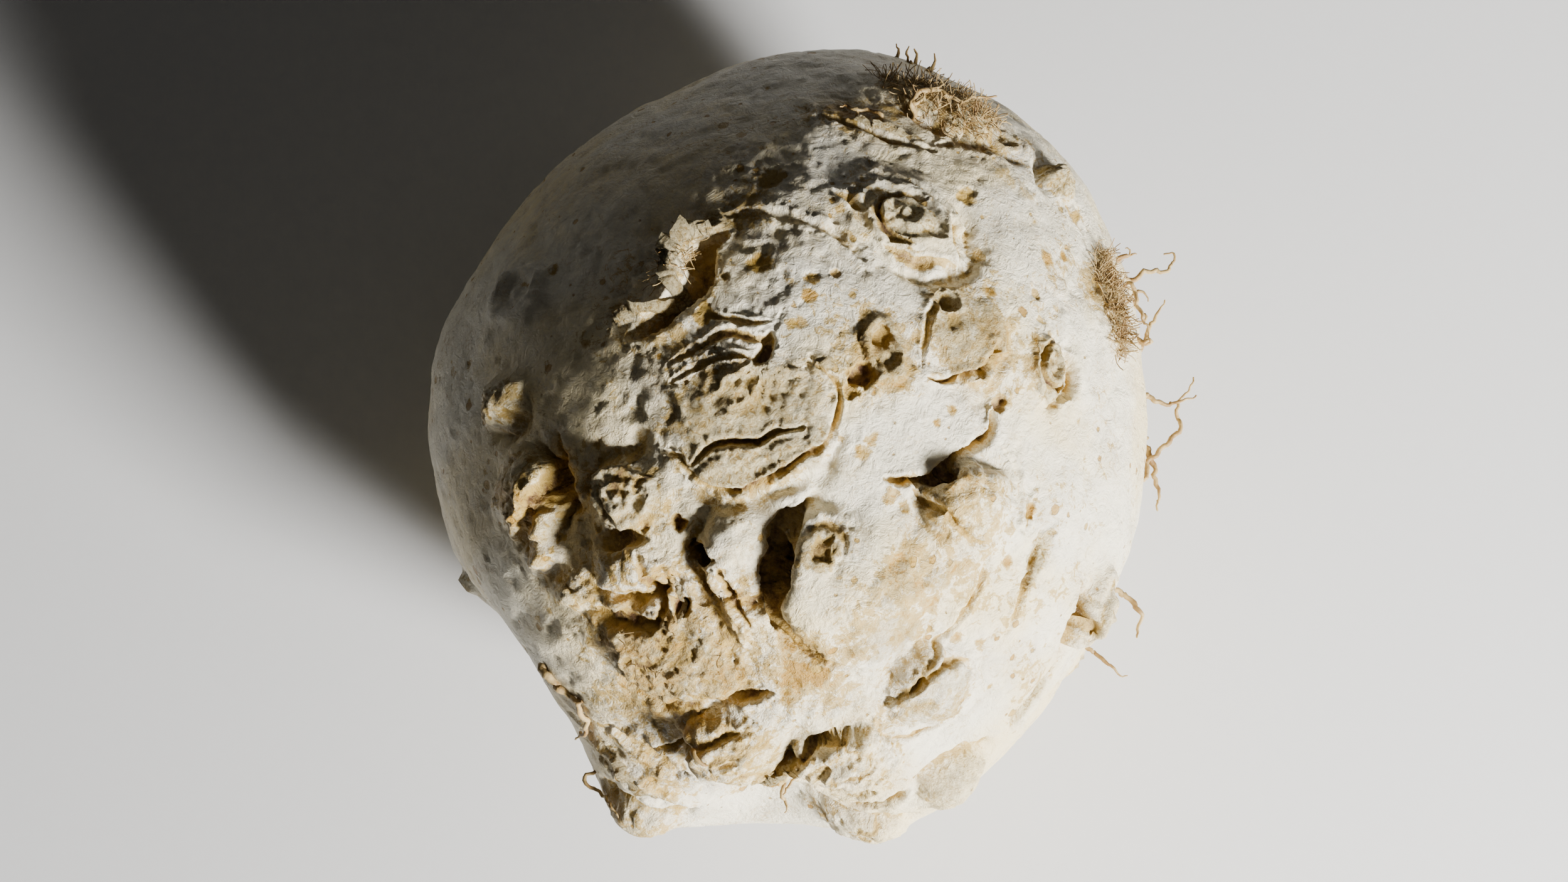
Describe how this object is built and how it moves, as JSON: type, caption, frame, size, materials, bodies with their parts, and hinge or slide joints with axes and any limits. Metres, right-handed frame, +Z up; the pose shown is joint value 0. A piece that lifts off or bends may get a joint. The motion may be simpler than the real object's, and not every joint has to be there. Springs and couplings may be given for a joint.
{
  "type": "celeriac root",
  "caption": "Fresh whole celeriac root with knobs, root scars and dry side roots, standing on its flat trimmed leaf crown.",
  "frame": {"origin": "middle of the whole part's footprint box, on the surface that it stands on", "axes": "+Z up, away from the trimmed crown; +Y along the longest side, away from the knobbly root end; +X to the side with most side roots"},
  "size_m": [0.1224, 0.128, 0.1039],
  "materials": {
    "celeriac_skin": "creamy white living skin, matt with a faint waxy sheen, tan and brown at the root scars",
    "dry_rootlet": "dry tan plant fibre"
  },
  "bodies": {
    "root": {"celeriac_root": "celeriac_skin", "rootlet_front_1": "dry_rootlet", "rootlet_front_2": "dry_rootlet", "rootlet_left_foot_1": "dry_rootlet", "rootlet_left_foot_2": "dry_rootlet", "rootlet_left_foot_3": "dry_rootlet", "rootlet_right_foot_1": "dry_rootlet", "rootlet_right_foot_2": "dry_rootlet", "rootlet_right_shoulder_1": "dry_rootlet", "rootlet_right_shoulder_2": "dry_rootlet", "rootlet_right_shoulder_3": "dry_rootlet", "rootlet_right_shoulder_4": "dry_rootlet", "rootlet_right_shoulder_5": "dry_rootlet", "rootlet_right_side_1": "dry_rootlet", "rootlet_right_side_2": "dry_rootlet", "rootlet_right_side_3": "dry_rootlet", "rootlet_shoulder_1": "dry_rootlet", "rootlet_shoulder_2": "dry_rootlet", "rootlet_shoulder_3": "dry_rootlet", "rootlet_top_edge_1": "dry_rootlet", "rootlet_top_edge_2": "dry_rootlet", "rootlet_top_edge_3": "dry_rootlet", "rootlet_top_edge_4": "dry_rootlet"}
  },
  "joints": []
}
